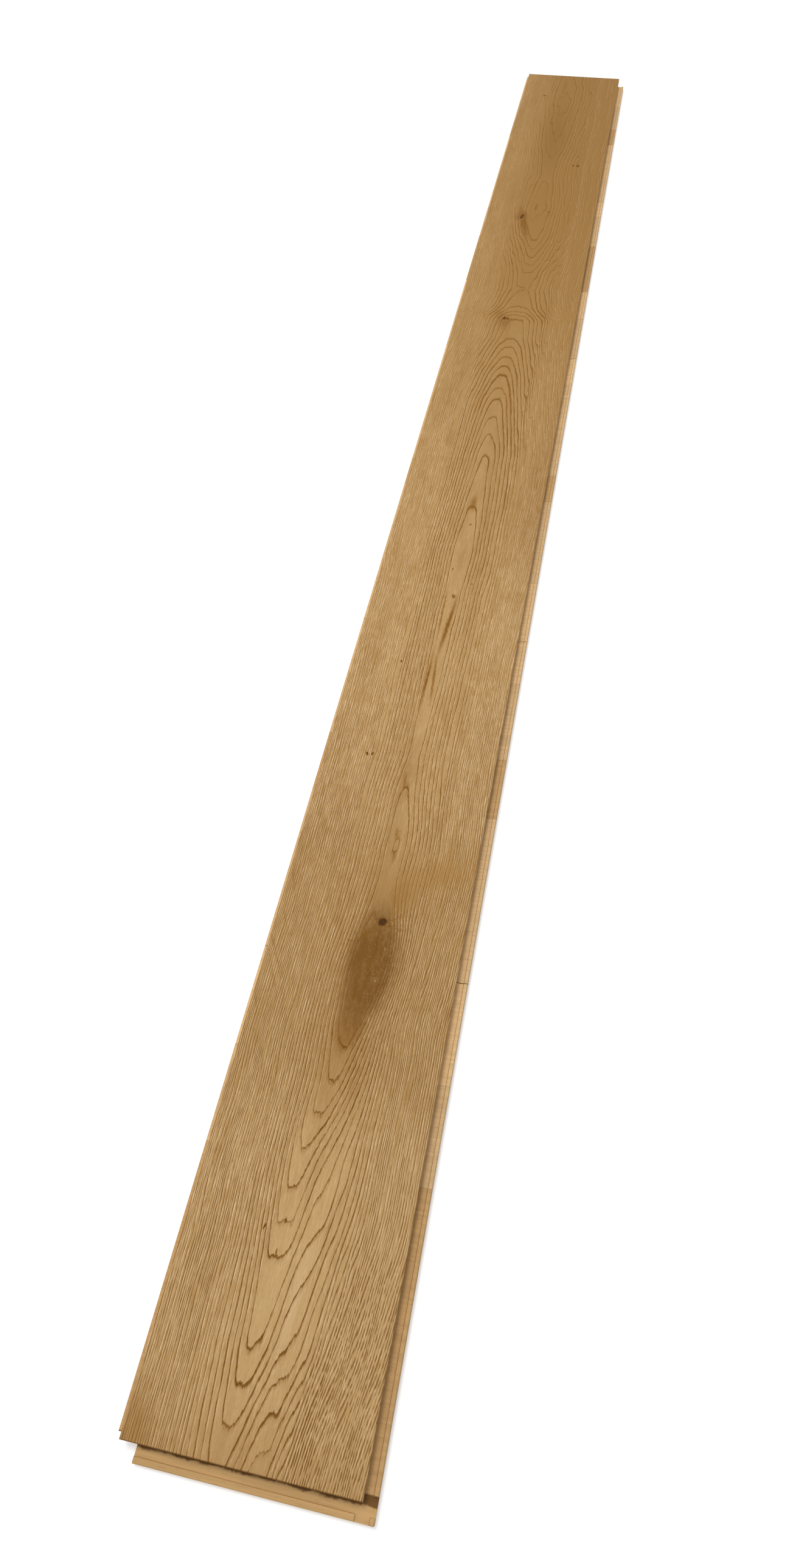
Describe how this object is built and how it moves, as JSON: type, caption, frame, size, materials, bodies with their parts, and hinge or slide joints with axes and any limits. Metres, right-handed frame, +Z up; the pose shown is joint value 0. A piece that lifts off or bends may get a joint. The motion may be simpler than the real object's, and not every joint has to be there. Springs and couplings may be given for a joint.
{
  "type": "parquet floorboard",
  "caption": "Engineered one-strip oak floorboard with a brushed rustic face, crosswise core slats, back veneer and click-lock groove and tongue edges.",
  "frame": {"origin": "middle of the underside, below the middle of the oak face", "axes": "+X across the board towards the long groove, +Y along it away from the end groove, +Z up through the oak face"},
  "size_m": [0.2015, 2.4363, 0.015],
  "materials": {
    "oak_face": "brushed and oiled rustic oak, eased edges",
    "core_slat_pale": "bare pale softwood slat, milled edges",
    "core_slat_tan": "bare tan slat, milled edges",
    "back_veneer": "bare peeled softwood veneer"
  },
  "bodies": {
    "root": {"oak_top_layer": "oak_face", "core_slat_01": "core_slat_tan", "core_slat_02": "core_slat_pale", "core_slat_03": "core_slat_pale", "core_slat_04": "core_slat_pale", "core_slat_05": "core_slat_pale", "core_slat_06": "core_slat_tan", "core_slat_07": "core_slat_pale", "core_slat_08": "core_slat_pale", "core_slat_09": "core_slat_pale", "core_slat_10": "core_slat_pale", "core_slat_11": "core_slat_tan", "core_slat_12": "core_slat_pale", "core_slat_13": "core_slat_pale", "core_slat_14": "core_slat_pale", "core_slat_15": "core_slat_pale", "core_slat_16": "core_slat_pale", "core_slat_17": "core_slat_tan", "core_slat_18": "core_slat_pale", "core_slat_19": "core_slat_pale", "core_slat_20": "core_slat_pale", "core_slat_21": "core_slat_pale", "core_slat_22": "core_slat_tan", "core_slat_23": "core_slat_pale", "core_slat_24": "core_slat_pale", "back_veneer": "back_veneer"}
  },
  "joints": []
}
